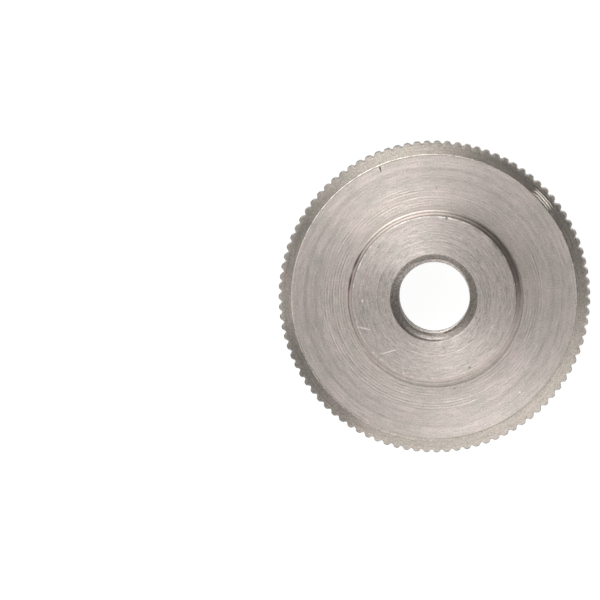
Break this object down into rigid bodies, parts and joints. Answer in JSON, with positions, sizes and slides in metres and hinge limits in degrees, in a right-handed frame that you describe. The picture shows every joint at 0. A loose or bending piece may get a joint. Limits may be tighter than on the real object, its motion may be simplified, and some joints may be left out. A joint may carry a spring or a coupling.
{
  "type": "knurled thumb nut",
  "caption": "Low round nut turned from stainless bar, with a straight-knurled rim for tightening by hand, a round boss on one side and a threaded through hole.",
  "frame": {"origin": "middle of the disc's flat underside, on the thread's axis", "axes": "+Z along the thread's axis, from the disc's flat underside up to the boss; the nut lies on its disc"},
  "size_m": [0.03, 0.03, 0.008],
  "materials": {
    "stainless_steel": "bare lathe-turned stainless steel with fine concentric turning marks, unpolished"
  },
  "bodies": {
    "root": {"thumb_nut": "stainless_steel"}
  },
  "joints": []
}
